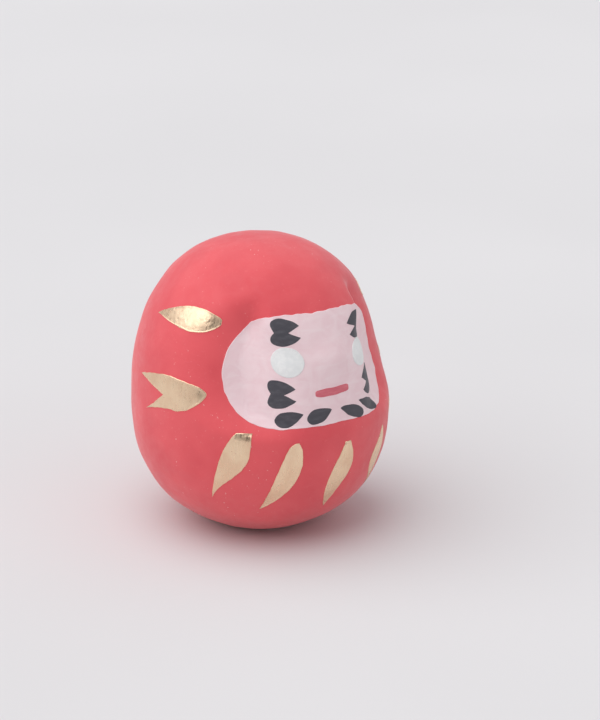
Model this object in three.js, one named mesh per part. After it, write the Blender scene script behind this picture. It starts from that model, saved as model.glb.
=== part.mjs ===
// A small papier-mâché daruma doll, as the separate pieces that it is made of: a hollow paper
// shell, the clay weight that keeps it upright, the disc that closes its foot, the strip over the
// slit at its back, the painted face and the gold leaf.
// Millimetres, +Z up. The doll faces -Y and its own left side is +X.
// The origin is the middle of its foot, on the surface that it stands on.

import * as THREE from "three";

// ---- The body ----
const HEIGHT = 70; // foot to crown
const BELLY_RADIUS = 31;
const BELLY_HEIGHT = 30.2; // height of the widest ring
const BELLY_POWER = 2.39; // superellipse power of the profile below the belly
const HEAD_POWER = 2.28; // and above it
const FOOT_RADIUS = 10;
const FOOT_BLEND = 6; // height over which the flat foot runs out into the belly
const CROWN_SETBACK = 1.8; // the crown lies this far behind the middle of the foot
const SETBACK_START = 10; // height where the body starts to lean back
const SETBACK_POWER = 1.6;
const WALL = 1.5; // thickness of the paper shell

// ---- The face, sunk into the front of the body: a hollow at each side of a blunt ridge ----
const FACE = { height: 46.2, halfWidth: 25, above: 12, below: 12.4, power: 3.1 };
const HOOD = { height: 47, halfWidth: 45, above: 17.2, below: 17.7, power: 3 };
const RIDGE_HALF_WIDTH = 8;
const RIDGE_FLARE = { start: 49, end: 58, gain: 8 }; // it widens between these heights
const RIDGE_DEPTH = { chin: 0.7, brow: 1.3, top: 0.3 };
const HOLLOW_DEPTH = { chin: 4.5, brow: 5.5 };
const CHIN_HEIGHT = 31.3; // below this height the chin depths hold
const BROW_HEIGHT = 44.5; // and above this one the brow's
const NOSE = { rise: 1.5, halfWidth: 7, height: 48, halfHeight: 4.5 };

// ---- Layers of paint, paper and leaf ----
const FILM = 0.25; // thickness of a layer
const GAP = 0.34; // clearance under a layer

// ---- The foot ----
const HOLE_RADIUS = 9; // opening in the bottom of the shell
const DISC_RADIUS = 8.7;
const DISC_THICKNESS = 0.6;
const WEIGHT_BOTTOM = 0.9;
const WEIGHT_NECK_RADIUS = 8.4; // the part of the weight that fills the opening
const WEIGHT_TOP = 12;
const WEIGHT_CROWN = 1.5; // how far the top of the weight is domed
const WEIGHT_CLEARANCE = 1; // glue line between the weight and the shell

// ---- The strip over the slit at the back ----
const SEAM = { width: 8, bottom: 8, top: 60, rows: 16 };

// ---- How finely the round surfaces are divided ----
const OUTER_COLUMNS = 80;
const OUTER_ROWS = 50;
const INNER_COLUMNS = 36;
const INNER_ROWS = 22;
const LATHE_SEGMENTS = 36;

const COLOUR = {
  red: { color: 0xd8323c, roughness: 0.62, metalness: 0 },
  pink: { color: 0xedcad4, roughness: 0.6, metalness: 0 },
  white: { color: 0xf2f2f0, roughness: 0.5, metalness: 0 },
  black: { color: 0x35353c, roughness: 0.55, metalness: 0 },
  lip: { color: 0xc0485a, roughness: 0.6, metalness: 0 },
  gold: { color: 0xd9b070, roughness: 0.3, metalness: 1 },
  paper: { color: 0xcdbb98, roughness: 0.85, metalness: 0 },
  clay: { color: 0x9a7358, roughness: 0.9, metalness: 0 },
};

const doll = new THREE.Group();

// ---- The skin: every outer surface is a place on it, given by an angle and a height ----

function smoothStep(from, to, x) {
  const t = THREE.MathUtils.clamp((x - from) / (to - from), 0, 1);
  return t * t * (3 - 2 * t);
}

function superellipse(x, y, power) {
  return (Math.abs(x) ** power + Math.abs(y) ** power) ** (1 / power);
}

function quarterProfile(fraction, power) {
  return Math.max(0, 1 - Math.abs(fraction) ** power) ** (1 / power);
}

// The height at which the round belly, with no foot, would have the foot's radius.
const FOOT_LIFT = BELLY_HEIGHT * (1 - quarterProfile(FOOT_RADIUS / BELLY_RADIUS, BELLY_POWER));

function bodyRadius(height) {
  if (height >= BELLY_HEIGHT) {
    const up = (height - BELLY_HEIGHT) / (HEIGHT - BELLY_HEIGHT);
    return BELLY_RADIUS * quarterProfile(up, HEAD_POWER);
  }
  const lift = FOOT_LIFT * Math.max(0, 1 - height / FOOT_BLEND) ** 2;
  return BELLY_RADIUS * quarterProfile(1 - (height + lift) / BELLY_HEIGHT, BELLY_POWER);
}

function setback(height) {
  const up = Math.max(0, (height - SETBACK_START) / (HEIGHT - SETBACK_START));
  return CROWN_SETBACK * up ** SETBACK_POWER;
}

// 1 inside the edge of the face, fading to 0 where the hood around it begins.
function faceShare(across, height) {
  const reach = ({ height: middle, above, below }) => (height > middle ? above : below);
  const inner = superellipse(
    across / FACE.halfWidth, (height - FACE.height) / reach(FACE), FACE.power);
  const outer = superellipse(
    across / HOOD.halfWidth, (height - HOOD.height) / reach(HOOD), HOOD.power);
  if (inner <= 1) return 1;
  if (outer >= 1) return 0;
  return 1 - smoothStep(0, 1, (inner - 1) / (inner - outer));
}

// How far the skin lies inside the round body.
function faceDepth(angle, height) {
  const across = BELLY_RADIUS * Math.atan2(Math.sin(angle), Math.cos(angle));
  const up = smoothStep(CHIN_HEIGHT, BROW_HEIGHT, height);
  const flare = smoothStep(RIDGE_FLARE.start, RIDGE_FLARE.end, height);
  const brow = THREE.MathUtils.lerp(RIDGE_DEPTH.chin, RIDGE_DEPTH.brow, up);
  const ridge = THREE.MathUtils.lerp(brow, RIDGE_DEPTH.top, flare);
  const hollow = THREE.MathUtils.lerp(HOLLOW_DEPTH.chin, HOLLOW_DEPTH.brow, up);
  const halfWidth = RIDGE_HALF_WIDTH + RIDGE_FLARE.gain * flare;
  const side = smoothStep(halfWidth, FACE.halfWidth, Math.abs(across));
  const noseOffset = (across / NOSE.halfWidth) ** 2 + ((height - NOSE.height) / NOSE.halfHeight) ** 2;
  const depth = THREE.MathUtils.lerp(ridge, hollow, side) - NOSE.rise * Math.exp(-noseOffset);
  return depth * faceShare(across, height);
}

// The angle is in radians from the front (-Y), positive towards the doll's left (+X).
function skinPoint(angle, height) {
  const radius = bodyRadius(height) - faceDepth(angle, height);
  return new THREE.Vector3(
    radius * Math.sin(angle), setback(height) - radius * Math.cos(angle), height);
}

// A point at a distance outside the skin (inside it where lift is negative).
function skin(angle, height, lift = 0) {
  const step = 0.01;
  const low = Math.max(height - step, 0);
  const high = Math.min(height + step, HEIGHT - step);
  const around = skinPoint(angle + step, height).sub(skinPoint(angle - step, height));
  const upward = skinPoint(angle, high).sub(skinPoint(angle, low));
  const normal = around.cross(upward).normalize();
  return skinPoint(angle, height).addScaledVector(normal, lift);
}

// ---- Closed solids from rings of points ----

// Joins two rings with triangles. Either ring may have any number of points, or be one point.
function stitch(faces, first, second) {
  const share = (index, ring) => (ring.length > 1 ? (index + 1) / ring.length : Infinity);
  let a = 0;
  let b = 0;
  while (share(a, first) <= 1 || share(b, second) <= 1) {
    const nextA = first[(a + 1) % first.length];
    const nextB = second[(b + 1) % second.length];
    if (share(a, first) <= share(b, second)) {
      faces.push(first[a % first.length], nextA, second[b % second.length]);
      a += 1;
    } else {
      faces.push(first[a % first.length], nextB, second[b % second.length]);
      b += 1;
    }
  }
}

// The rings run anticlockwise seen from outside, from a point on the underside to one on top.
function solidFromRings(rings) {
  const positions = [];
  const faces = [];
  const numbered = rings.map((ring) => ring.map((point) => {
    positions.push(point.x, point.y, point.z);
    return positions.length / 3 - 1;
  }));
  for (let i = 0; i + 1 < numbered.length; i += 1) stitch(faces, numbered[i], numbered[i + 1]);
  const geometry = new THREE.BufferGeometry();
  geometry.setAttribute("position", new THREE.Float32BufferAttribute(positions, 3));
  geometry.setIndex(faces);
  geometry.computeVertexNormals();
  return geometry;
}

function addPiece(name, colour, geometry) {
  const piece = new THREE.Mesh(geometry, new THREE.MeshStandardMaterial(COLOUR[colour]));
  piece.name = name;
  doll.add(piece);
}

// ---- Paper shell ----

// Heights that divide the profile of the body into equal lengths, from above the foot to below
// the crown.
function rowHeights(rows) {
  const samples = 2000;
  const lengths = [0];
  const heightAt = (i) => HEIGHT * (0.5 - 0.5 * Math.cos((Math.PI * i) / samples));
  for (let i = 1; i <= samples; i += 1) {
    const rise = heightAt(i) - heightAt(i - 1);
    const spread = bodyRadius(heightAt(i)) - bodyRadius(heightAt(i - 1));
    lengths.push(lengths[i - 1] + Math.hypot(rise, spread));
  }
  const heights = [];
  for (let row = 1; row < rows; row += 1) {
    const target = (lengths[samples] * row) / rows;
    heights.push(heightAt(lengths.findIndex((length) => length >= target)));
  }
  return heights;
}

function ringOnSkin(columns, height, lift) {
  return Array.from({ length: columns }, (_, i) => skin((2 * Math.PI * i) / columns, height, lift));
}

function flatRing(columns, radius, height) {
  return Array.from({ length: columns }, (_, i) => {
    const angle = (2 * Math.PI * i) / columns;
    return new THREE.Vector3(radius * Math.sin(angle), -radius * Math.cos(angle), height);
  });
}

function paperShell() {
  const crown = (drop) => [new THREE.Vector3(0, CROWN_SETBACK, HEIGHT - drop)];
  const inside = rowHeights(INNER_ROWS).reverse();
  const outside = rowHeights(OUTER_ROWS);
  addPiece("paper_shell", "red", solidFromRings([
    crown(WALL),
    ...inside.map((height) => ringOnSkin(INNER_COLUMNS, height, -WALL)),
    flatRing(INNER_COLUMNS, HOLE_RADIUS, WALL),
    flatRing(OUTER_COLUMNS, HOLE_RADIUS, 0),
    flatRing(OUTER_COLUMNS, FOOT_RADIUS, 0),
    ...outside.map((height) => ringOnSkin(OUTER_COLUMNS, height, 0)),
    crown(0),
  ]));
}

// ---- Foot: the disc that closes it and the weight that stands on the disc ----

function lathe(profile) {
  const points = profile.map(([radius, height]) => new THREE.Vector2(radius, height));
  return new THREE.LatheGeometry(points, LATHE_SEGMENTS).rotateX(Math.PI / 2);
}

function baseDisc() {
  addPiece("base_paper", "paper", lathe([
    [0, 0],
    [DISC_RADIUS, 0],
    [DISC_RADIUS, DISC_THICKNESS],
    [0, DISC_THICKNESS],
  ]));
}

function clayWeight() {
  const steps = 5;
  const inset = WALL + WEIGHT_CLEARANCE;
  const profile = [[0, WEIGHT_BOTTOM], [WEIGHT_NECK_RADIUS, WEIGHT_BOTTOM]];
  const backAngle = Math.PI; // the lathe follows the plain back of the body
  const along = (height) => skin(backAngle, height, -inset);
  profile.push([WEIGHT_NECK_RADIUS, along(0).z]);
  for (let i = 1; i <= steps; i += 1) {
    const point = along((WEIGHT_TOP * i) / (steps + 1));
    profile.push([point.y, point.z]);
  }
  const rim = profile.at(-1)[0];
  for (let i = 1; i < steps; i += 1) {
    const out = 1 - i / steps;
    profile.push([rim * out, WEIGHT_TOP + WEIGHT_CROWN * (1 - out * out)]);
  }
  profile.push([0, WEIGHT_TOP + WEIGHT_CROWN]);
  addPiece("clay_weight", "clay", lathe(profile));
}

// ---- Thin layers that lie on the skin ----

const LEFT = 1;
const RIGHT = -1;
const ON_SHELL = 0;
const ON_FACE = 1;

// Lays a flat outline on the skin around a place given as [degrees, height]. The outline's x runs
// towards the doll's left and its y runs up; on the doll's right side it is mirrored.
function layOnSkin(outline, [degrees, height], side = LEFT) {
  const angle = THREE.MathUtils.degToRad(degrees);
  const { radius, rise } = skinScale(angle, height);
  const laid = outline.map((point) => new THREE.Vector2(
    side * (angle + point.x / radius), height + point.y * rise));
  if (THREE.ShapeUtils.isClockWise(laid)) laid.reverse();
  return { centre: new THREE.Vector2(side * angle, height), outline: laid };
}

// At a place on the skin: its distance from the axis, and the height gained per millimetre of skin.
function skinScale(angle, height) {
  const here = skinPoint(angle, height);
  const radius = Math.hypot(here.x, here.y - setback(height));
  return { radius, rise: 1 / here.distanceTo(skinPoint(angle, height + 1)) };
}

function addLayer(name, colour, { centre, outline }, level = ON_SHELL, rings = 2) {
  const low = GAP + level * (GAP + FILM);
  const ring = (share, lift) => outline.map((point) => {
    const place = centre.clone().lerp(point, share);
    return skin(place.x, place.y, lift);
  });
  const shares = Array.from({ length: rings }, (_, i) => (i + 1) / rings);
  addPiece(name, colour, solidFromRings([
    [skin(centre.x, centre.y, low)],
    ...shares.map((share) => ring(share, low)),
    ...shares.toReversed().map((share) => ring(share, low + FILM)),
    [skin(centre.x, centre.y, low + FILM)],
  ]));
}

// ---- Outlines ----

// How wide one side of a brush stroke is at a share of its length, next to its widest place.
function swell(share, peak, power) {
  return Math.max(0, Math.sin(Math.PI * share ** (Math.log(0.5) / Math.log(peak)))) ** power;
}

// A brush stroke laid between two places, each [degrees, height], from its root to its tip. Each
// side of it has a width, the share of the length where it is widest, and a power that hollows it
// out towards its ends. A cut above 0 leaves the root blunt, and nothing rises above a top.
function stroke({ root, tip, left, right, cut = 0, top = Infinity }, points = 9) {
  const middle = [(root[0] + tip[0]) / 2, (root[1] + tip[1]) / 2];
  const { radius, rise } = skinScale(THREE.MathUtils.degToRad(middle[0]), middle[1]);
  const along = new THREE.Vector2(
    THREE.MathUtils.degToRad(tip[0] - root[0]) * radius, (tip[1] - root[1]) / rise);
  const across = new THREE.Vector2(-along.y, along.x).normalize();
  const topOffset = (top - middle[1]) / rise;
  const point = (share, width) => {
    const place = along.clone().multiplyScalar(share - 0.5).addScaledVector(across, width);
    return place.setY(Math.min(place.y, topOffset));
  };
  const edge = ({ width, peak, power }, sign) => Array.from({ length: points }, (_, i) => {
    const share = i / points;
    return point(share, sign * width * swell(cut + (1 - cut) * share, peak, power));
  });
  const outline = [...edge(left, 1), point(1, 0), ...edge(right, -1).reverse()];
  if (cut === 0) outline.pop();
  return { place: middle, outline };
}

// Two leaves one above the other, grown together along the middle, with their tips at -x.
function doubleLeaf(length, height) {
  const half = height / 2;
  const shape = new THREE.Shape();
  shape.moveTo(-0.13 * length, 0);
  shape.lineTo(-0.5 * length, -0.42 * half);
  shape.bezierCurveTo(-0.1 * length, -1.3 * half, 0.7 * length, -1.3 * half, 0.3 * length, 0);
  shape.bezierCurveTo(0.7 * length, 1.3 * half, -0.1 * length, 1.3 * half, -0.5 * length, 0.42 * half);
  return shape.getPoints(8);
}

// A circle or ellipse with power 2, and a rounded bar with a higher power.
function roundShape(width, height, power = 2) {
  const points = 24;
  const half = (wave) => 0.5 * Math.sign(wave) * Math.abs(wave) ** (2 / power);
  return Array.from({ length: points }, (_, i) => {
    const turn = (2 * Math.PI * i) / points;
    return new THREE.Vector2(width * half(Math.cos(turn)), height * half(Math.sin(turn)));
  });
}

// ---- The painted face ----

// The edge of the pink paint as [degrees, height], from the chin round by the doll's left side.
// It is laid on by hand, so the two sides differ a little.
const FACE_EDGE = [
  [0, 33], [11, 32.7], [23, 32.2], [33, 32.5], [39.5, 33.4], [46, 35], [50.5, 37], [53, 39],
  [54.4, 42.2], [55.2, 46.5], [56.8, 49.8], [56.6, 51.7], [54, 53.4], [48, 55], [39, 56.2],
  [29, 57.1], [19, 57.8], [8, 58.2], [-7, 58.3], [-20, 58.5], [-31, 58.2], [-37.5, 57.3],
  [-44, 55.6], [-49.7, 53.4], [-54, 51.2], [-56.3, 48.4], [-56.9, 45], [-56, 42.2], [-53.3, 39.2],
  [-49, 36.6], [-43.8, 34.7], [-37.8, 33.5], [-29, 32.9], [-15, 33],
];

function facePaint() {
  const divisions = 72;
  const edge = new THREE.CatmullRomCurve3(FACE_EDGE.map(([degrees, height]) => (
    new THREE.Vector3(degrees, height, 0))), true);
  const outline = edge.getPoints(divisions).slice(0, -1).map((point) => (
    new THREE.Vector2(THREE.MathUtils.degToRad(point.x), point.y)));
  const centre = new THREE.Vector2(0, FACE.height);
  addLayer("face_paint", "pink", { centre, outline }, ON_SHELL, 16);
}

// Each mark is laid at a place, with a length and a height. The two sides differ a little.
const FACE_MARKS = [
  { name: "right_eye", side: RIGHT, place: [23.4, 48.1], size: [7.2, 7.1] },
  { name: "right_brow", side: RIGHT, place: [24.2, 54.8], size: [7.6, 6.2] },
  { name: "right_moustache", side: RIGHT, place: [27.6, 40.7], size: [6.9, 6.3] },
  { name: "left_eye", side: LEFT, place: [21, 47], size: [7.7, 6.4] },
  { name: "left_brow", side: LEFT, place: [24, 52.9], size: [7.5, 6] },
  { name: "left_moustache", side: LEFT, place: [24.8, 39.7], size: [6.9, 6.8] },
];

const BEARD_STROKES = [
  { name: "right_beard_outer", root: [-30.3, 34.2], tip: [-17.8, 36.3], halfWidth: 1.8 },
  { name: "right_beard_inner", root: [-16, 34.7], tip: [-3.4, 36.4], halfWidth: 1.8 },
  { name: "left_beard_inner", root: [16.4, 33.2], tip: [1.6, 36.2], halfWidth: 1.5 },
  { name: "left_beard_outer", root: [30.4, 32.6], tip: [13.4, 36.6], halfWidth: 1.35 },
];

function faceMarks() {
  for (const { name, side, place, size } of FACE_MARKS) {
    const isEye = name.endsWith("eye");
    const outline = isEye ? roundShape(...size) : doubleLeaf(...size);
    addLayer(name, isEye ? "white" : "black", layOnSkin(outline, place, side), ON_FACE, 3);
  }
  for (const { name, root, tip, halfWidth } of BEARD_STROKES) {
    const side = { width: halfWidth, peak: 0.38, power: 0.75 };
    const { place, outline } = stroke({ root, tip, left: side, right: side });
    addLayer(name, "black", layOnSkin(outline, place), ON_FACE);
  }
  addLayer("mouth", "lip", layOnSkin(roundShape(9.5, 1.9, 4), [-1.9, 40.6]), ON_FACE);
}

// ---- The gold leaf ----

// The strokes under the chin: the middle one, and two on each side that lean away from it.
const CHEST_STROKES = [
  {
    root: [-41.6, 32.5],
    tip: [-60.7, 14.6],
    left: { width: 3.1, peak: 0.44, power: 2.2 },
    right: { width: 3.2, peak: 0.35, power: 1 },
    cut: 0.11,
    top: 32.3,
  },
  {
    root: [-20.1, 29.7],
    tip: [-37.5, 12],
    left: { width: 4.1, peak: 0.44, power: 0.85 },
    right: { width: 1.6, peak: 0.18, power: 1.5 },
  },
  {
    root: [4.3, 28.1],
    tip: [-2.3, 10.8],
    left: { width: 3.2, peak: 0.45, power: 2.2 },
    right: { width: 2.8, peak: 0.67, power: 0.8 },
    cut: 0.16,
  },
  {
    root: [32.6, 27.3],
    tip: [31, 12.4],
    left: { width: 1.4, peak: 0.33, power: 1.8 },
    right: { width: 3.9, peak: 0.54, power: 1.2 },
    cut: 0.02,
  },
  {
    root: [52.2, 30.7],
    tip: [73.8, 15.3],
    left: { width: 3.2, peak: 0.35, power: 1 },
    right: { width: 3.1, peak: 0.44, power: 2.2 },
    cut: 0.11,
    top: 30.5,
  },
];

function chestStrokes() {
  CHEST_STROKES.forEach((brushwork, index) => {
    const { place, outline } = stroke(brushwork);
    addLayer(`gold_stroke_${index + 1}`, "gold", layOnSkin(outline, place), ON_SHELL, 4);
  });
}

// A leaf whose outer end is split into two tails, each [x, y]; its nose points to the front.
function ribbon() {
  const nose = [-9.1, 1.2];
  const upperTail = [12.9, 1.5];
  const lowerTail = [9.4, -6.1];
  const notch = [2.9, -0.8];
  const shape = new THREE.Shape();
  shape.moveTo(...nose);
  shape.bezierCurveTo(-8.6, -0.6, -4, -4.2, 0, -3.7);
  shape.quadraticCurveTo(5, -4.2, ...lowerTail);
  shape.quadraticCurveTo(6, -3.8, ...notch);
  shape.quadraticCurveTo(7.5, 0.7, ...upperTail);
  shape.quadraticCurveTo(4, 4.6, -0.6, 4.1);
  shape.bezierCurveTo(-4, 3.7, -8.8, 2.9, ...nose);
  return shape.getPoints(6).slice(0, -1);
}

// The left side's are laid a little further round and lower than the right side's.
function sideLeaves() {
  const temple = stroke({
    root: [58.4, 56.4],
    tip: [102.6, 54.7],
    left: { width: 3.6, peak: 0.42, power: 0.8 },
    right: { width: 2.6, peak: 0.3, power: 1.3 },
    cut: 0.01,
  });
  for (const [sideName, side, further, lower] of [["right", RIGHT, 0, 0], ["left", LEFT, 6, 1]]) {
    const laid = (outline, [degrees, height]) => (
      layOnSkin(outline, [degrees + further, height - lower], side));
    addLayer(`${sideName}_gold_leaf`, "gold", laid(temple.outline, temple.place), ON_SHELL, 3);
    addLayer(`${sideName}_gold_ribbon`, "gold", laid(ribbon(), [79.6, 38.8]), ON_SHELL, 3);
  }
}

// ---- The strip glued over the slit at the back ----

function seamStrip() {
  const halfAngle = SEAM.width / 2 / BELLY_RADIUS;
  const section = (height) => {
    const across = [Math.PI - halfAngle, Math.PI, Math.PI + halfAngle];
    const outside = across.map((angle) => skin(angle, height, GAP + FILM));
    const inside = across.map((angle) => skin(angle, height, GAP));
    return [...outside, ...inside.reverse()];
  };
  const heights = Array.from({ length: SEAM.rows + 1 }, (_, i) => (
    THREE.MathUtils.lerp(SEAM.bottom, SEAM.top, i / SEAM.rows)));
  const end = (height) => [skin(Math.PI, height, GAP + FILM / 2)];
  addPiece("back_seam_strip", "red", solidFromRings([
    end(SEAM.bottom),
    ...heights.map(section),
    end(SEAM.top),
  ]));
}

paperShell();
clayWeight();
baseDisc();
seamStrip();
facePaint();
faceMarks();
chestStrokes();
sideLeaves();

export default doll;
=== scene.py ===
# The looks of a small papier-mache daruma doll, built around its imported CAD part.
# Shapes are worked out in millimetres in the frame of the part: +Z up, the doll faces -Y and its
# own left side is +X. They are stored in metres.
import math

import bmesh
import bpy
import numpy as np
from mathutils import Matrix, Vector, noise


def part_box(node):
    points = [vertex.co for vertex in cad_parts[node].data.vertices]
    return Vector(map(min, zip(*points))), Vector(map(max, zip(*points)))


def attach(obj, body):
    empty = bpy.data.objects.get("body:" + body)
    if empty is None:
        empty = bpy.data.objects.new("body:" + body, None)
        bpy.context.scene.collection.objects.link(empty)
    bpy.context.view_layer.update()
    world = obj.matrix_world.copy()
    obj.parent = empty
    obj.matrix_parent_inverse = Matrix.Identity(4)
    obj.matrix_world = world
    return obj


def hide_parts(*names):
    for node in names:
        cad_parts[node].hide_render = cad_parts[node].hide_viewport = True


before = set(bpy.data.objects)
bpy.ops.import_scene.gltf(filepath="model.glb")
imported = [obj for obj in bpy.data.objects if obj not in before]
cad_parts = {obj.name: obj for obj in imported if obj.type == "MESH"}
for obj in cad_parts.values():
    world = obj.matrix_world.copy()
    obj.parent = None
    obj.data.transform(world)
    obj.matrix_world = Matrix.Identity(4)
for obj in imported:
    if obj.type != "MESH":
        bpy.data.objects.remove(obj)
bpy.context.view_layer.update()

MM = 0.001
SHELL_LOW, SHELL_HIGH = (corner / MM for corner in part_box("paper_shell"))

# ---- The body, as in the CAD part ----
HEIGHT = SHELL_HIGH.z
BELLY_RADIUS = (SHELL_HIGH.x - SHELL_LOW.x) / 2
BELLY_HEIGHT = 30.2
BELLY_POWER = 2.39
HEAD_POWER = 2.28
FOOT_RADIUS = 10
FOOT_BLEND = 6
CROWN_SETBACK = 1.8
SETBACK_START = 10
SETBACK_POWER = 1.6
WALL = 1.5

# ---- The opening in the foot, and the clay weight that fills it ----
HOLE_RADIUS = 9
HOLE_BEVEL = 0.1
WEIGHT_NECK_RADIUS = 8.4
WEIGHT_CLEARANCE = 1  # glue line between the weight and the shell
WEIGHT_DOME = 1.5
WEIGHT_RIM_DROP = 3.5  # from the top of the weight down to where its domed rim starts

# ---- The sunk face: a hollow at each side of a blunt ridge ----
FACE = {"height": 46.2, "half_width": 25, "above": 12, "below": 12.4, "power": 3.1}
HOOD = {"height": 47, "half_width": 45, "above": 17.2, "below": 17.7, "power": 3}
RIDGE_HALF_WIDTH = 8
RIDGE_FLARE = {"start": 49, "end": 58, "gain": 8}  # the ridge widens between these heights
RIDGE_DEPTH = {"chin": 0.7, "brow": 1.3, "top": 0.3}
HOLLOW_DEPTH = {"chin": 4.5, "brow": 5.5}
CHIN_HEIGHT = 31.3
BROW_HEIGHT = 44.5
NOSE_RISE = 1.5
NOSE_HALF_WIDTH = 7
NOSE_HEIGHT = 48
NOSE_HALF_HEIGHT = 4.5

# ---- Hand-made unevenness of the pasted paper ----
LUMP_SIZE = 9
LUMP_HEIGHT = 0.16
DENT_SIZE = 2.6
DENT_HEIGHT = 0.03
CALM_FOOT = 3  # height over which the unevenness sets in above the flat foot
NOISE_SEED = 7
noise.seed_set(NOISE_SEED)  # without a seed, noise_vector() gives other shifts in each run

# ---- How finely the skin is divided ----
COLUMNS = 300
OUTER_ROWS = 200
INNER_ROWS = 40

LEFT = 1
RIGHT = -1


# ---------------------------------------------------------------------------------- the skin

def smooth_step(x):
    t = np.clip(x, 0, 1)
    return t * t * (3 - 2 * t)


def blend(first, second, share):
    return first + (second - first) * share


def superellipse(x, y, power):
    return (np.abs(x) ** power + np.abs(y) ** power) ** (1 / power)


def quarter_profile(fraction, power):
    return np.maximum(0, 1 - np.abs(fraction) ** power) ** (1 / power)


FOOT_LIFT = BELLY_HEIGHT * (1 - quarter_profile(FOOT_RADIUS / BELLY_RADIUS, BELLY_POWER))


def body_radius(height):
    lift = FOOT_LIFT * np.maximum(0, 1 - height / FOOT_BLEND) ** 2
    below = quarter_profile(1 - (height + lift) / BELLY_HEIGHT, BELLY_POWER)
    above = quarter_profile((height - BELLY_HEIGHT) / (HEIGHT - BELLY_HEIGHT), HEAD_POWER)
    return BELLY_RADIUS * np.where(height < BELLY_HEIGHT, below, above)


def setback(height):
    up = np.maximum(0, (height - SETBACK_START) / (HEIGHT - SETBACK_START))
    return CROWN_SETBACK * up ** SETBACK_POWER


def distance_in(zone, across, height):
    """1 on the edge of a zone of the face, less inside it and more outside."""
    up = height - zone["height"]
    reach = np.where(up > 0, zone["above"], zone["below"])
    return superellipse(across / zone["half_width"], up / reach, zone["power"])


def face_share(across, height):
    """1 inside the edge of the face, fading to 0 where the hood around it begins."""
    inner = distance_in(FACE, across, height)
    outer = distance_in(HOOD, across, height)
    span = np.maximum(inner - outer, 1e-6)
    faded = 1 - smooth_step((inner - 1) / span)
    return np.where(inner <= 1, 1.0, np.where(outer >= 1, 0.0, faded))


def face_depth(angle, height):
    """How far the skin lies inside the round body."""
    across = BELLY_RADIUS * np.arctan2(np.sin(angle), np.cos(angle))
    up = smooth_step((height - CHIN_HEIGHT) / (BROW_HEIGHT - CHIN_HEIGHT))
    flare_rise = RIDGE_FLARE["end"] - RIDGE_FLARE["start"]
    flare = smooth_step((height - RIDGE_FLARE["start"]) / flare_rise)
    ridge = blend(blend(RIDGE_DEPTH["chin"], RIDGE_DEPTH["brow"], up), RIDGE_DEPTH["top"], flare)
    hollow = blend(HOLLOW_DEPTH["chin"], HOLLOW_DEPTH["brow"], up)
    half_width = RIDGE_HALF_WIDTH + RIDGE_FLARE["gain"] * flare
    side = smooth_step((np.abs(across) - half_width) / (FACE["half_width"] - half_width))
    from_nose = (across / NOSE_HALF_WIDTH) ** 2 + ((height - NOSE_HEIGHT) / NOSE_HALF_HEIGHT) ** 2
    depth = blend(ridge, hollow, side) - NOSE_RISE * np.exp(-from_nose)
    return depth * face_share(across, height)


def smooth_skin(angle, height):
    """Points on the even skin. Angles are from the front, positive towards the doll's left."""
    radius = body_radius(height) - face_depth(angle, height)
    return np.stack(
        [radius * np.sin(angle), setback(height) - radius * np.cos(angle), height], axis=-1)


def unevenness(points):
    """How far hand-pasted paper stands above the even skin. The foot stays flat."""
    heights = [
        LUMP_HEIGHT * noise.fractal(point / LUMP_SIZE, 1.0, 2.0, 2)
        + DENT_HEIGHT * noise.noise(point / DENT_SIZE)
        for point in map(Vector, points.reshape(-1, 3))
    ]
    return np.reshape(heights, points.shape[:-1]) * smooth_step(points[..., 2] / CALM_FOOT)


def skin(angle, height, lift=0.0):
    """Points at a distance outside the uneven skin (inside it where lift is negative)."""
    angle, height, lift = np.broadcast_arrays(*np.atleast_1d(angle, height, lift))
    step = 0.01
    high = np.minimum(height + step, HEIGHT - step)
    low = np.maximum(height - step, 0)
    around = smooth_skin(angle + step, height) - smooth_skin(angle - step, height)
    upward = smooth_skin(angle, high) - smooth_skin(angle, low)
    normal = np.cross(around, upward)
    normal /= np.linalg.norm(normal, axis=-1, keepdims=True)
    points = smooth_skin(angle, height)
    return points + normal * (lift + unevenness(points))[..., None]


# ------------------------------------------------------------------------ closed ring meshes

def closed_rings(name, rings):
    """A closed mesh from rings of points, the first and last of one point. The rings run
    anticlockwise seen from outside, from the underside of the piece to its top."""
    count = max(len(ring) for ring in rings)
    starts = np.cumsum([0] + [len(ring) for ring in rings])
    faces = []
    for i in range(len(rings) - 1):
        here, there = starts[i], starts[i + 1]
        for j in range(count):
            k = (j + 1) % count
            if len(rings[i]) == 1:
                faces.append((here, there + k, there + j))
            elif len(rings[i + 1]) == 1:
                faces.append((here + j, here + k, there))
            else:
                faces.append((here + j, here + k, there + k, there + j))
    mesh = bpy.data.meshes.new(name)
    mesh.from_pydata(np.vstack(rings) * MM, [], faces)
    mesh.polygons.foreach_set("use_smooth", [True] * len(mesh.polygons))
    return mesh


def add_piece(node, mesh, material):
    """Shows the mesh in place of a CAD node."""
    piece = bpy.data.objects.new(f"dressed_{node}", mesh)
    bpy.context.scene.collection.objects.link(piece)
    mesh.materials.append(material)
    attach(piece, "root")
    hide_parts(node)
    return piece


# -------------------------------------------------------------------------------- materials

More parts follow.
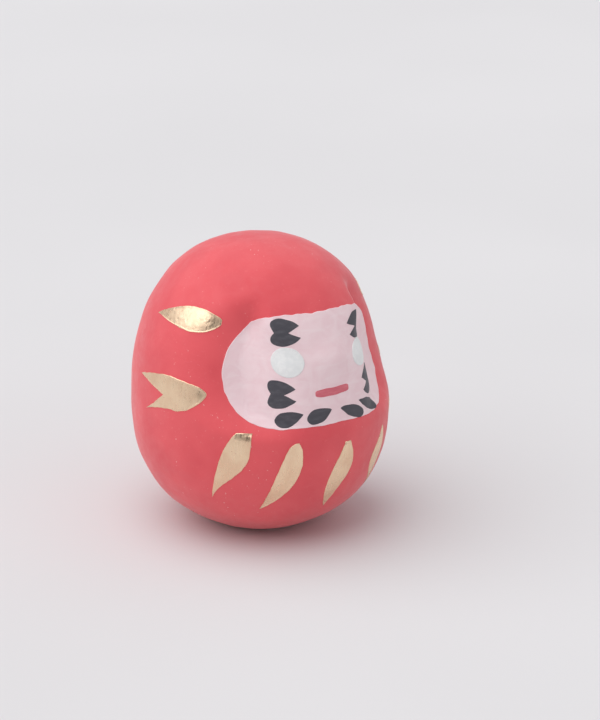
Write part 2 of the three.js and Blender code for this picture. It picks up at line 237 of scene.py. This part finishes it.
class Look:
    """One material: a Principled shader, and short calls for the nodes that feed it."""

    def __init__(self, name, metallic=0.0, specular=0.5, sheen=0.0):
        self.material = bpy.data.materials.new(name)
        self.material.use_nodes = True
        self.tree = self.material.node_tree
        self.shader = self.tree.nodes["Principled BSDF"]
        self.shader.inputs["Metallic"].default_value = metallic
        self.shader.inputs["Specular IOR Level"].default_value = specular
        self.shader.inputs["Sheen Weight"].default_value = sheen
        self.shader.inputs["Sheen Roughness"].default_value = 0.5
        self.place = self.add("ShaderNodeTexCoord").outputs["Object"]

    def add(self, kind, inputs=None, **settings):
        node = self.tree.nodes.new(kind)
        for key, value in settings.items():
            setattr(node, key, value)
        for key, value in (inputs or {}).items():
            if isinstance(value, bpy.types.NodeSocket):
                self.tree.links.new(value, node.inputs[key])
            else:
                node.inputs[key].default_value = value
        return node

    def noise(self, size, detail=3, stretch=(1, 1, 1), turn=(0, 0, 0), bend=0.0):
        """Soft random grey. Its size is in millimetres, and stretch draws it out along an axis."""
        place = self.add("ShaderNodeMapping", {
            "Vector": self.place,
            "Rotation": [math.radians(degrees) for degrees in turn],
            "Scale": [1 / share for share in stretch],
        })
        texture = self.add("ShaderNodeTexNoise", {
            "Vector": place.outputs["Vector"],
            "Scale": 1 / (size * MM),
            "Detail": detail,
            "Distortion": bend,
        })
        return texture.outputs["Fac"]

    def ramp(self, value, low, high, start=0.0, end=1.0):
        """Turns low to start and high to end, with a smooth passage between them."""
        node = self.add("ShaderNodeMapRange", {
            "Value": value,
            "From Min": low,
            "From Max": high,
            "To Min": start,
            "To Max": end,
        }, interpolation_type="SMOOTHSTEP")
        return node.outputs["Result"]

    def height(self, low, high):
        """1 above the high height and 0 below the low one, in millimetres."""
        split = self.add("ShaderNodeSeparateXYZ", {"Vector": self.place})
        return self.ramp(split.outputs["Z"], low * MM, high * MM)

    def maths(self, operation, first, second):
        node = self.add("ShaderNodeMath", {0: first, 1: second}, operation=operation)
        return node.outputs["Value"]

    def mix(self, share, first, second):
        """Blends two colours, each an (r, g, b) or a socket."""
        colours = {
            key: colour if isinstance(colour, bpy.types.NodeSocket) else (*colour, 1.0)
            for key, colour in (("A", first), ("B", second))
        }
        node = self.add("ShaderNodeMix", {"Factor": share}, data_type="RGBA")
        for key, colour in colours.items():
            socket = next(s for s in node.inputs if s.name == key and s.type == "RGBA")
            if isinstance(colour, bpy.types.NodeSocket):
                self.tree.links.new(colour, socket)
            else:
                socket.default_value = colour
        return next(s for s in node.outputs if s.type == "RGBA")

    def finish(self, colour, roughness, bumps):
        """bumps lists (grey, rise in millimetres), from the coarsest to the finest."""
        self.tree.links.new(colour, self.shader.inputs["Base Color"])
        self.tree.links.new(roughness, self.shader.inputs["Roughness"])
        normal = None
        for grey, rise in bumps:
            inputs = {"Height": grey, "Distance": rise * MM, "Strength": 1.0}
            if normal is not None:
                inputs["Normal"] = normal
            normal = self.add("ShaderNodeBump", inputs).outputs["Normal"]
        self.tree.links.new(normal, self.shader.inputs["Normal"])
        return self.material


def red_paint():
    """Matte red over a chalk ground on pasted paper, worn to the paper at the foot."""
    look = Look("red_paint", specular=0.35, sheen=0.22)
    patches = look.noise(14, detail=2)
    grain = look.noise(0.9, detail=5)
    red = look.mix(look.ramp(patches, 0.35, 0.65), (0.76, 0.085, 0.103), (0.82, 0.105, 0.122))
    red = look.mix(look.ramp(grain, 0.58, 0.78, 0.0, 0.25), red, (0.88, 0.18, 0.19))
    pits = look.ramp(look.noise(0.5, detail=2), 0.70, 0.76)
    pitted = look.maths("MULTIPLY", pits, look.ramp(patches, 0.5, 0.6))
    red = look.mix(pitted, red, (0.90, 0.42, 0.42))
    worn = look.maths("MULTIPLY", look.height(1.1, 0.1), look.ramp(grain, 0.42, 0.58))
    red = look.mix(worn, red, (0.80, 0.70, 0.58))
    roughness = look.ramp(look.noise(2.2), 0.3, 0.7, 0.5, 0.68)
    brushed = look.noise(1.6, detail=3, stretch=(3, 3, 1), turn=(8, 4, 0))
    return look.finish(red, roughness, [(brushed, 0.05), (grain, 0.03), (pits, 0.02)])


def pink_paint():
    """Pale pink laid on with a wide brush, its strokes running across the face."""
    look = Look("pink_paint", specular=0.35)
    strokes = look.noise(1.6, detail=3, stretch=(6, 2.5, 1), turn=(0, 14, 0), bend=0.9)
    swirls = look.noise(5, detail=2, bend=1.6)
    pink = look.mix(look.ramp(swirls, 0.3, 0.7), (0.89, 0.655, 0.69), (0.92, 0.71, 0.74))
    pink = look.mix(look.ramp(strokes, 0.45, 0.8, 0.0, 0.45), pink, (0.94, 0.78, 0.80))
    roughness = look.ramp(strokes, 0.3, 0.7, 0.42, 0.58)
    return look.finish(pink, roughness, [(swirls, 0.12), (strokes, 0.03), (look.noise(0.5), 0.008)])


def black_paint():
    """Charcoal brush strokes, thinner where the brush lifted off."""
    look = Look("black_paint", specular=0.35)
    drag = look.noise(0.8, detail=4, stretch=(4, 2, 1))
    black = look.mix(look.ramp(drag, 0.4, 0.75), (0.070, 0.067, 0.081), (0.096, 0.092, 0.108))
    roughness = look.ramp(drag, 0.3, 0.7, 0.42, 0.62)
    return look.finish(black, roughness, [(drag, 0.05), (look.noise(0.4), 0.012)])


def white_paint():
    """Thick chalk white, dabbed on."""
    look = Look("white_paint", specular=0.4)
    dabs = look.noise(1.3, detail=3, bend=0.8)
    white = look.mix(look.ramp(dabs, 0.35, 0.7), (0.82, 0.83, 0.83), (0.88, 0.885, 0.88))
    roughness = look.ramp(dabs, 0.3, 0.7, 0.38, 0.55)
    return look.finish(white, roughness, [(dabs, 0.06), (look.noise(0.5), 0.012)])


def lip_paint():
    """Rose red, laid on in one stroke."""
    look = Look("lip_paint", specular=0.4)
    drag = look.noise(0.9, detail=3, stretch=(5, 2, 1))
    rose = look.mix(look.ramp(drag, 0.35, 0.7), (0.64, 0.125, 0.168), (0.72, 0.19, 0.225))
    roughness = look.ramp(drag, 0.3, 0.7, 0.42, 0.6)
    return look.finish(rose, roughness, [(drag, 0.05), (look.noise(0.5), 0.012)])


def gold_leaf():
    """Thin metal leaf, crinkled as it was pressed down, and dulled in streaks."""
    look = Look("gold_leaf", metallic=1.0, specular=0.5)
    streaks = look.noise(0.55, detail=4, stretch=(1, 1, 9), bend=0.3)
    clouds = look.noise(4.5, detail=3)
    gold = look.mix(look.ramp(clouds, 0.35, 0.65), (0.84, 0.60, 0.41), (0.90, 0.68, 0.47))
    gold = look.mix(look.ramp(streaks, 0.58, 0.8, 0.0, 0.5), gold, (0.95, 0.81, 0.62))
    rubbed = look.ramp(look.noise(0.35, detail=5), 0.64, 0.72, 0.0, 0.55)
    gold = look.mix(rubbed, gold, (0.66, 0.30, 0.20))
    roughness = look.ramp(streaks, 0.3, 0.7, 0.24, 0.42)
    crinkles = look.noise(2.4, detail=4, bend=0.5)
    return look.finish(gold, roughness, [(crinkles, 0.16), (streaks, 0.03)])


def bare_paper():
    """Undyed handmade paper with long fibres."""
    look = Look("bare_paper", specular=0.2)
    fibres = look.noise(0.35, detail=5, stretch=(8, 1, 1), turn=(0, 0, 35), bend=1.5)
    crossing = look.noise(0.35, detail=5, stretch=(1, 8, 1), turn=(0, 0, 20), bend=1.5)
    cloudy = look.noise(3, detail=3)
    paper = look.mix(look.ramp(cloudy, 0.3, 0.7), (0.57, 0.48, 0.34), (0.69, 0.60, 0.45))
    paper = look.mix(look.ramp(fibres, 0.6, 0.75, 0.0, 0.6), paper, (0.80, 0.73, 0.60))
    paper = look.mix(look.ramp(crossing, 0.62, 0.75, 0.0, 0.6), paper, (0.42, 0.33, 0.22))
    roughness = look.ramp(cloudy, 0.3, 0.7, 0.75, 0.92)
    return look.finish(paper, roughness, [(fibres, 0.05), (crossing, 0.04)])


def dried_clay():
    """Sun-dried clay with grit and fine cracks."""
    look = Look("dried_clay", specular=0.25)
    lumps = look.noise(4, detail=4)
    grit = look.noise(0.5, detail=4)
    clay = look.mix(look.ramp(lumps, 0.3, 0.7), (0.25, 0.155, 0.095), (0.36, 0.235, 0.15))
    clay = look.mix(look.ramp(grit, 0.6, 0.75, 0.0, 0.7), clay, (0.50, 0.38, 0.27))
    roughness = look.ramp(grit, 0.3, 0.7, 0.8, 0.95)
    return look.finish(clay, roughness, [(lumps, 0.4), (grit, 0.12)])


def studio_paper():
    """The pale floor."""
    look = Look("studio_paper", specular=0.2)
    tone = look.noise(160, detail=2)
    grain = look.noise(0.8, detail=3)
    pale = look.mix(look.ramp(tone, 0.3, 0.7), (0.71, 0.70, 0.71), (0.73, 0.72, 0.73))
    roughness = look.ramp(grain, 0.3, 0.7, 0.75, 0.85)
    return look.finish(pale, roughness, [(grain, 0.01)])


RED = red_paint()
PINK = pink_paint()
BLACK = black_paint()
WHITE = white_paint()
LIP = lip_paint()
GOLD = gold_leaf()
PAPER = bare_paper()
CLAY = dried_clay()


# ------------------------------------------------------------------- the shell and its foot

def turns(count):
    return np.arange(count) * 2 * math.pi / count


def row_heights(rows):
    """Heights that divide the profile of the body into equal lengths."""
    fine = HEIGHT * (0.5 - 0.5 * np.cos(np.linspace(0, math.pi, 4001)))
    steps = np.hypot(np.diff(fine), np.diff(body_radius(fine)))
    length = np.concatenate([[0], np.cumsum(steps)])
    return np.interp(np.arange(1, rows) * length[-1] / rows, length, fine)


def flat_ring(columns, radius, height):
    angle = turns(columns)
    radius = np.broadcast_to(radius, angle.shape)
    return np.stack(
        [radius * np.sin(angle), -radius * np.cos(angle), np.full(columns, height)], axis=-1)


def paper_shell():
    crown = np.array([[0, CROWN_SETBACK, HEIGHT]])
    angle = turns(COLUMNS)
    inside = [skin(angle, height, -WALL) for height in reversed(row_heights(INNER_ROWS))]
    outside = [skin(angle, height) for height in row_heights(OUTER_ROWS)]
    rings = [
        crown - [0, 0, WALL],
        *inside,
        flat_ring(COLUMNS, HOLE_RADIUS, WALL),
        flat_ring(COLUMNS, HOLE_RADIUS, HOLE_BEVEL),
        flat_ring(COLUMNS, HOLE_RADIUS + HOLE_BEVEL, 0),
        flat_ring(COLUMNS, FOOT_RADIUS, 0),
        *outside,
        crown,
    ]
    add_piece("paper_shell", closed_rings("paper_shell", rings), RED)


def base_paper():
    """The disc that closes the foot, cut out by hand."""
    low, high = (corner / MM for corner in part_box("base_paper"))
    columns, rings_across = 180, 12
    cut_depth, cut_waves, soft = 0.15, 9, 0.12
    round_cut = [
        abs(noise.noise(Vector((cut_waves * math.sin(angle), cut_waves * math.cos(angle), 3))))
        for angle in turns(columns)
    ]
    edge = high.x - cut_depth * np.array(round_cut)
    shares = np.linspace(0, 1, rings_across + 1)[1:-1]
    rings = [np.array([[0, 0, low.z]])]
    rings += [flat_ring(columns, edge * share, low.z) for share in shares]
    rings += [
        flat_ring(columns, edge - soft, low.z),
        flat_ring(columns, edge, low.z + soft),
        flat_ring(columns, edge, high.z - soft),
        flat_ring(columns, edge - soft, high.z),
    ]
    rings += [flat_ring(columns, edge * share, high.z) for share in reversed(shares)]
    rings.append(np.array([[0, 0, high.z]]))
    add_piece("base_paper", closed_rings("base_paper", rings), PAPER)


def clay_weight():
    """A lump of clay pressed into the bottom of the shell, a little smaller than its CAD body."""
    low, high = (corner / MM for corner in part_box("clay_weight"))
    columns, rows = 144, 44
    squeeze_depth, squeeze_size = 0.03, 7
    neck = WEIGHT_NECK_RADIUS
    heights = np.linspace(0.2, high.z - WEIGHT_RIM_DROP, rows)
    back = skin(np.full(rows, math.pi), heights, -(WALL + WEIGHT_CLEARANCE))
    profile = [(neck * share, low.z) for share in np.linspace(0, 1, 10)[1:]]
    profile.append((neck, back[0, 2]))
    profile += [(y, z) for _, y, z in back if y > neck]
    rim = profile[-1][0]
    for share in np.linspace(0.96, 0, 24)[:-1]:
        profile.append((rim * share, high.z - WEIGHT_DOME * share ** 2))
    rings = [np.array([[0, 0, low.z]])]
    for radius, height in profile:
        ring = flat_ring(columns, radius, height)
        squeeze = [abs(noise.fractal(Vector(point) / squeeze_size, 1.0, 2.0, 3)) for point in ring]
        ring[:, :2] *= 1 - squeeze_depth * np.array(squeeze)[:, None]
        rings.append(ring)
    rings.append(np.array([[0, 0, high.z]]))
    add_piece("clay_weight", closed_rings("clay_weight", rings), CLAY)


def back_seam_strip():
    """The torn strip of paper pasted over the slit at the back, under the red paint."""
    low, high = (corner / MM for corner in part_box("back_seam_strip"))
    rows, half_width, thickness = 150, 3.9, 0.35
    tear_depth, tear_length = 0.5, 2.5
    lift, sink = 0.02, 0.1  # how far its edges stand above the skin and its underside lies in it
    end_gap, row_gap = 0.3, 0.4  # from the ends of the CAD strip to its end points and end rows
    corner_power, least_reach = 30, 0.05
    across = np.linspace(-1, 1, 25)
    flank = 1 - np.abs(across) ** 10

    def torn(height, side):
        fibres = noise.fractal(Vector((side * 5, height / tear_length, 0)), 0.6, 2.2, 4)
        return half_width + tear_depth * fibres

    rings = [skin(math.pi, low.z + end_gap, thickness / 2)]
    for share in np.linspace(0, 1, rows):
        height = blend(low.z + row_gap, high.z - row_gap, share)
        end = max(quarter_profile(abs(2 * share - 1), corner_power), least_reach)
        reach = np.where(across < 0, torn(height, LEFT), torn(height, RIGHT)) * end
        angle = math.pi - across * reach / BELLY_RADIUS
        top = skin(angle, np.full_like(angle, height), thickness * flank + lift)
        bottom = skin(angle[::-1], np.full_like(angle, height), -sink)
        rings.append(np.vstack([top[::-1], bottom[::-1]]))
    rings.append(skin(math.pi, high.z - end_gap, thickness / 2))
    mesh = closed_rings("back_seam_strip", rings)
    face_outwards(mesh)
    add_piece("back_seam_strip", mesh, RED)


def face_outwards(mesh):
    shape = bmesh.new()
    shape.from_mesh(mesh)
    bmesh.ops.recalc_face_normals(shape, faces=shape.faces)
    shape.to_mesh(mesh)
    shape.free()


# ------------------------------------------------------------ outlines, flat and in millimetres

def curve(points, count=24):
    """A Bezier curve with two, three or four control points, without its last point."""
    points = np.array(points, float)
    share = np.arange(count)[:, None] / count
    while len(points) > 1:
        if points.ndim == 2:
            points = points[:, None, :] + np.zeros((1, count, 1))
        points = points[:-1] + (points[1:] - points[:-1]) * share
    return points[0]


def closed_curve(points, count):
    """A smooth closed line through the points (Catmull-Rom), count points for each of them."""
    points = np.array(points, float)
    before, after, beyond = (np.roll(points, shift, axis=0) for shift in (1, -1, -2))
    share = (np.arange(count) / count)[None, :, None]
    line = 0.5 * (
        2 * points[:, None]
        + (after - before)[:, None] * share
        + (2 * before - 5 * points + 4 * after - beyond)[:, None] * share ** 2
        + (3 * points - before - 3 * after + beyond)[:, None] * share ** 3)
    return line.reshape(-1, 2)


def swell(share, peak, power):
    """How wide one side of a brush stroke is along its length, next to its widest place."""
    return np.maximum(0, np.sin(math.pi * share ** (math.log(0.5) / math.log(peak)))) ** power


def stroke(root, tip, left, right, cut=0.0, top=None, count=56):
    """A brush stroke between two places, each (degrees, height). Each side has a width, the share
    of the length where it is widest, and a power that hollows its ends. A root with a cut is
    blunt, and nothing rises above a top. Returns its middle place and its outline around that."""
    place = ((root[0] + tip[0]) / 2, (root[1] + tip[1]) / 2)
    radius, rise = skin_scale(*place)
    along = np.array([math.radians(tip[0] - root[0]) * radius, (tip[1] - root[1]) / rise])
    across = np.array([-along[1], along[0]]) / np.linalg.norm(along)
    share = np.arange(count) / count
    sides = []
    for sign, (width, peak, power) in ((1, left), (-1, right)):
        spread = sign * width * swell(cut + (1 - cut) * share, peak, power)
        sides.append((share - 0.5)[:, None] * along + spread[:, None] * across)
    outline = np.vstack([sides[0], along[None, :] / 2, sides[1][:0:-1]])
    if top is not None:
        outline[:, 1] = np.minimum(outline[:, 1], (top - place[1]) / rise)
    return place, outline


def double_leaf(length, height):
    """Two leaves one above the other, grown together along the middle, with tips at -x."""
    half = height / 2
    tip_x, tip_y = -0.5 * length, 0.42 * half
    waist = (0.3 * length, 0)
    bulge, shoulder = (0.7 * length, 1.3 * half), (-0.1 * length, 1.3 * half)
    mirror = np.array([1, -1])
    notch = (-0.13 * length, 0)
    upper = [(tip_x, tip_y), shoulder, bulge, waist]
    return np.vstack([
        curve([notch, (tip_x, -tip_y)], 14),
        curve(np.array(upper) * mirror, 50),
        curve(upper[::-1], 50),
        curve([(tip_x, tip_y), notch], 14),
    ])


def round_shape(width, height, power=2.0, count=120):
    """An ellipse with power 2, and a rounded bar with a higher power."""
    wave = np.stack([np.cos(turns(count)), np.sin(turns(count))], axis=-1)
    return 0.5 * np.array([width, height]) * np.sign(wave) * np.abs(wave) ** (2 / power)


def ribbon():
    """A leaf whose outer end is split into two tails; its nose points to the front, at -x."""
    nose, upper_tail, lower_tail, notch = (-9.1, 1.2), (12.9, 1.5), (9.4, -6.1), (2.9, -0.8)
    return np.vstack([
        curve([nose, (-8.6, -0.6), (-4, -4.2), (0, -3.7)], 40),
        curve([(0, -3.7), (5, -4.2), lower_tail], 36),
        curve([lower_tail, (6, -3.8), notch], 30),
        curve([notch, (7.5, 0.7), upper_tail], 36),
        curve([upper_tail, (4, 4.6), (-0.6, 4.1)], 44),
        curve([(-0.6, 4.1), (-4, 3.7), (-8.8, 2.9), nose], 40),
    ])


def uneven(outline, stray, seed):
    """Moves the points of an outline a little, as a hand does: how far, and over what length."""
    amount, size = stray
    slice_step = 7.3  # each seed takes its own slice of the noise
    shifts = [
        noise.noise_vector(Vector((x / size, y / size, seed * slice_step)))[:2]
        for x, y in outline
    ]
    return outline + amount * np.array(shifts)


# ------------------------------------------------------------------ layers that lie on the skin

def skin_scale(degrees, height):
    """The distance from the axis, and the height gained per millimetre of skin."""
    angle = math.radians(degrees)
    here = smooth_skin(angle, height)
    above = smooth_skin(angle, height + 1)
    return math.hypot(here[0], here[1] - setback(height)), 1 / np.linalg.norm(above - here)


def lay_on_skin(outline, place, side=LEFT):
    """The outline and its middle as (angle, height). On the right side it is mirrored."""
    radius, rise = skin_scale(*place)
    angle = math.radians(place[0])
    laid = np.stack([side * (angle + outline[:, 0] / radius), place[1] + outline[:, 1] * rise], -1)
    return anticlockwise(laid), np.array([side * angle, place[1]])


def anticlockwise(outline):
    x, y = outline.T
    area = np.sum(x * np.roll(y, -1) - y * np.roll(x, -1))
    return outline if area > 0 else outline[::-1]


SINK = 0.08  # how far the underside of a layer lies in what is under it
ROUNDING = ((0.0, 0.3), (0.04, 0.75), (0.1, 1.0), (0.25, 1.0))  # way in, and share of the rise there
RIM_FALL = 0.3  # way from the rim to the level of the rest
MOST_INSET = 0.4  # share of the way to the middle


def film(name, laid, base, thickness, rim=0.0, rings=14, dome=0.0):
    """A thin closed layer. Its edge is rounded over, with a rim that may stand above the rest."""
    outline, middle = laid
    spread = np.linalg.norm((outline - middle) * [BELLY_RADIUS, 1], axis=1)

    def ring(share, lift):
        points = middle + (outline - middle) * np.reshape(share, (-1, 1))
        return skin(points[:, 0], points[:, 1], lift)

    def inset(distance):
        return 1 - np.minimum(distance / spread, MOST_INSET)

    under = base - SINK
    inner = inset(ROUNDING[-1][0] + RIM_FALL)
    layers = [skin(middle[0], middle[1], under)]
    for share in np.linspace(0, 1, rings + 1)[1:]:
        layers.append(ring(share, under))
    for distance, share in ROUNDING:
        layers.append(ring(inset(distance), base + share * thickness + rim * share ** 4))
    for share in np.linspace(1, 0, rings + 1)[:-1]:
        layers.append(ring(inner * share, base + thickness + dome * (1 - share ** 2)))
    layers.append(skin(middle[0], middle[1], base + thickness + dome))
    return closed_rings(name, layers)


SKIN_LEVEL = 0.0
PAINT = 0.06  # thickness of a layer of paint
PINK_RIM = 0.05
PINK_RINGS = 64
PINK_EDGE_STEPS = 12  # points drawn for each point of its edge
EYE_PAINT = 0.16
EYE_DOME = 0.14
LEAF = 0.07  # thickness of the gold with its glue
LEAF_RIM = 0.06
LEAF_RINGS = 18
FACE_LEVEL = SKIN_LEVEL + PAINT

# How far a hand strays from the outline of each kind of mark, and over what length.
STRAY = {
    "pink": (0.22, 2.2),
    "mark": (0.16, 2.0),
    "beard": (0.16, 1.8),
    "mouth": (0.2, 2.4),
    "gold": (0.12, 1.3),
}

# The edge of the pink paint as (degrees, height), from the chin round by the doll's left side.
FACE_EDGE = [
    (0, 33), (11, 32.7), (23, 32.2), (33, 32.5), (39.5, 33.4), (46, 35), (50.5, 37), (53, 39),
    (54.4, 42.2), (55.2, 46.5), (56.8, 49.8), (56.6, 51.7), (54, 53.4), (48, 55), (39, 56.2),
    (29, 57.1), (19, 57.8), (8, 58.2), (-7, 58.3), (-20, 58.5), (-31, 58.2), (-37.5, 57.3),
    (-44, 55.6), (-49.7, 53.4), (-54, 51.2), (-56.3, 48.4), (-56.9, 45), (-56, 42.2), (-53.3, 39.2),
    (-49, 36.6), (-43.8, 34.7), (-37.8, 33.5), (-29, 32.9), (-15, 33),
]


def face_paint():
    edge = closed_curve(FACE_EDGE, PINK_EDGE_STEPS)
    edge[:, 0] = np.radians(edge[:, 0])
    outline = uneven(edge * [BELLY_RADIUS, 1], STRAY["pink"], 1) / [BELLY_RADIUS, 1]
    laid = anticlockwise(outline), np.array([0, FACE["height"]])
    mesh = film("face_paint", laid, SKIN_LEVEL, PAINT, rim=PINK_RIM, rings=PINK_RINGS)
    add_piece("face_paint", mesh, PINK)


# The strokes of the beard: root, tip and half width.
BEARD = {
    "right_beard_outer": ((-30.3, 34.2), (-17.8, 36.3), 1.8),
    "right_beard_inner": ((-16, 34.7), (-3.4, 36.4), 1.8),
    "left_beard_inner": ((16.4, 33.2), (1.6, 36.2), 1.5),
    "left_beard_outer": ((30.4, 32.6), (13.4, 36.6), 1.35),
}
BEARD_SWELL = (0.38, 0.75)  # where a beard stroke is widest, and the power that hollows its ends

# The eye, brow and moustache of each side: the place of each, then its length and height.
EYES = {"right": ((23.4, 48.1), 7.3, 7.3), "left": ((21, 47), 7.8, 6.5)}
BROWS = {"right": ((24.2, 54.8), 7.6, 6.6), "left": ((24, 52.9), 7.5, 6.2)}
MOUSTACHES = {"right": ((27.6, 40.7), 6.9, 6.5), "left": ((24.8, 39.7), 6.9, 6.9)}
MOUTH = {"place": (-1.9, 40.6), "size": (9.5, 1.9), "power": 4}


def face_marks():
    seed = 2
    for side_name, side in (("right", RIGHT), ("left", LEFT)):
        for name, shape, places, slot, material, thickness, dome in (
            ("eye", round_shape, EYES, "white_paint", WHITE, EYE_PAINT, EYE_DOME),
            ("brow", double_leaf, BROWS, "black_paint", BLACK, PAINT, 0),
            ("moustache", double_leaf, MOUSTACHES, "black_paint", BLACK, PAINT, 0),
        ):
            node = f"{side_name}_{name}"
            place, length, height = places[side_name]
            laid = lay_on_skin(uneven(shape(length, height), STRAY["mark"], seed), place, side)
            add_piece(node, film(node, laid, FACE_LEVEL, thickness, dome=dome), material)
            seed += 1
    for node, (root, tip, half_width) in BEARD.items():
        side = (half_width, *BEARD_SWELL)
        place, outline = stroke(root, tip, side, side)
        laid = lay_on_skin(uneven(outline, STRAY["beard"], seed), place)
        add_piece(node, film(node, laid, FACE_LEVEL, PAINT), BLACK)
        seed += 1
    lips = uneven(round_shape(*MOUTH["size"], MOUTH["power"]), STRAY["mouth"], seed)
    laid = lay_on_skin(lips, MOUTH["place"])
    add_piece("mouth", film("mouth", laid, FACE_LEVEL, PAINT), LIP)


# The strokes under the chin: the middle one, and two on each side that lean away from it.
CHEST_STROKES = [
    {"root": (-41.6, 32.5), "tip": (-60.7, 14.6), "top": 32.3,
     "left": (3.1, 0.44, 2.2), "right": (3.2, 0.35, 1.0), "cut": 0.11},
    {"root": (-20.1, 29.7), "tip": (-37.5, 12),
     "left": (4.1, 0.44, 0.85), "right": (1.6, 0.18, 1.5)},
    {"root": (4.3, 28.1), "tip": (-2.3, 10.8),
     "left": (3.2, 0.45, 2.2), "right": (2.8, 0.67, 0.8), "cut": 0.16},
    {"root": (32.6, 27.3), "tip": (31, 12.4),
     "left": (1.4, 0.33, 1.8), "right": (3.9, 0.54, 1.2), "cut": 0.02},
    {"root": (52.2, 30.7), "tip": (73.8, 15.3), "top": 30.5,
     "left": (3.2, 0.35, 1.0), "right": (3.1, 0.44, 2.2), "cut": 0.11},
]


# The leaf at each temple, and the ribbon under it.
TEMPLE_STROKE = {"root": (58.4, 56.4), "tip": (102.6, 54.7),
                 "left": (3.6, 0.42, 0.8), "right": (2.6, 0.3, 1.3), "cut": 0.01}
RIBBON_PLACE = (79.6, 38.8)
LEFT_FURTHER = 6  # degrees that the left side's are laid further round than the right side's
LEFT_LOWER = 1
GOLD_SEED = 20


def gold():
    pieces = []
    for number, brushwork in enumerate(CHEST_STROKES, start=1):
        place, outline = stroke(**brushwork)
        pieces.append((f"gold_stroke_{number}", outline, place, LEFT))
    leaf_place, leaf = stroke(**TEMPLE_STROKE)
    for side_name, side, further, lower in (
        ("right", RIGHT, 0, 0), ("left", LEFT, LEFT_FURTHER, LEFT_LOWER),
    ):
        for name, outline, (degrees, height) in (
            ("leaf", leaf, leaf_place), ("ribbon", ribbon(), RIBBON_PLACE),
        ):
            place = (degrees + further, height - lower)
            pieces.append((f"{side_name}_gold_{name}", outline, place, side))
    for seed, (node, outline, place, side) in enumerate(pieces, start=GOLD_SEED):
        laid = lay_on_skin(uneven(outline, STRAY["gold"], seed), place, side)
        mesh = film(node, laid, SKIN_LEVEL, LEAF, rim=LEAF_RIM, rings=LEAF_RINGS)
        add_piece(node, mesh, GOLD)


# ------------------------------------------------------------------------------- the studio

CAMERA_DISTANCE = 696.2  # level distance from the axis of the doll
CAMERA_SIDE = -37.5  # degrees round the doll
CAMERA_HEIGHT = 294.4
CAMERA_AIM = -38.26  # the way it faces, in degrees
CAMERA_DROP = 20.1  # degrees that it looks down
CAMERA_ROLL = 1.01
CAMERA_LENS = 154.5
CAMERA_FILM = 36
CAMERA_RANGE = (0.05, 20)  # metres

FLOOR_RADIUS = 4000
FLOOR_DROP = 0.02  # keeps the floor clear of the foot
SKY_COLOUR = (0.77, 0.77, 0.785, 1)
SKY_STRENGTH = 0.8
DIM_SIDE = -45  # where the sky is dimmer, degrees round the doll and above the floor
DIM_RISE = 18
DIM_SHARE = 0.2  # how much of its light is left there
DIM_REACH = (26, 12)  # degrees from there to where the dimming starts and is full
KEY_STRENGTH = 1.75
KEY_SPREAD = 80  # degrees across, for soft shadows
KEY_SIDE = -112  # degrees round the doll, and above the floor
KEY_RISE = 60


def camera():
    data = bpy.data.cameras.new("camera")
    data.lens = CAMERA_LENS
    data.sensor_width = CAMERA_FILM
    data.clip_start, data.clip_end = CAMERA_RANGE
    place = bpy.data.objects.new("camera", data)
    side = math.radians(CAMERA_SIDE)
    level = CAMERA_DISTANCE * MM
    place.location = (level * math.sin(side), -level * math.cos(side), CAMERA_HEIGHT * MM)
    turn = (
        Matrix.Rotation(math.radians(CAMERA_AIM), 3, "Z")
        @ Matrix.Rotation(math.radians(90 - CAMERA_DROP), 3, "X")
        @ Matrix.Rotation(math.radians(CAMERA_ROLL), 3, "Z"))
    place.rotation_euler = turn.to_euler()
    bpy.context.scene.collection.objects.link(place)
    bpy.context.scene.camera = place


def floor():
    shape = bmesh.new()
    bmesh.ops.create_circle(shape, cap_ends=True, segments=96, radius=FLOOR_RADIUS * MM)
    mesh = bpy.data.meshes.new("floor")
    shape.to_mesh(mesh)
    shape.free()
    mesh.materials.append(studio_paper())
    disc = bpy.data.objects.new("floor", mesh)
    disc.location.z = -FLOOR_DROP * MM
    bpy.context.scene.collection.objects.link(disc)


def towards(side, rise):
    side, rise = math.radians(side), math.radians(rise)
    return math.cos(rise) * math.sin(side), -math.cos(rise) * math.cos(side), math.sin(rise)


def sky():
    """An even pale sky, with a dim place in front of the doll, as where somebody stands."""
    world = bpy.data.worlds.new("studio")
    world.use_nodes = True
    nodes, links = world.node_tree.nodes, world.node_tree.links
    nodes["Background"].inputs["Color"].default_value = SKY_COLOUR
    direction = nodes.new("ShaderNodeTexCoord")
    nearness = nodes.new("ShaderNodeVectorMath")
    nearness.operation = "DOT_PRODUCT"
    nearness.inputs[1].default_value = towards(DIM_SIDE, DIM_RISE)
    strength = nodes.new("ShaderNodeMapRange")
    strength.interpolation_type = "SMOOTHSTEP"
    start, full = (math.cos(math.radians(degrees)) for degrees in DIM_REACH)
    for key, value in (("From Min", start), ("From Max", full),
                       ("To Min", SKY_STRENGTH), ("To Max", SKY_STRENGTH * DIM_SHARE)):
        strength.inputs[key].default_value = value
    links.new(direction.outputs["Generated"], nearness.inputs[0])
    links.new(nearness.outputs["Value"], strength.inputs["Value"])
    links.new(strength.outputs["Result"], nodes["Background"].inputs["Strength"])
    bpy.context.scene.world = world


def key_light():
    data = bpy.data.lights.new("key", "SUN")
    data.energy = KEY_STRENGTH
    data.angle = math.radians(KEY_SPREAD)
    key = bpy.data.objects.new("key", data)
    key.rotation_euler = (math.radians(90 - KEY_RISE), 0, math.radians(KEY_SIDE))
    bpy.context.scene.collection.objects.link(key)


bpy.context.scene.view_settings.view_transform = "Standard"
camera()
floor()
sky()
key_light()
paper_shell()
base_paper()
clay_weight()
back_seam_strip()
face_paint()
face_marks()
gold()
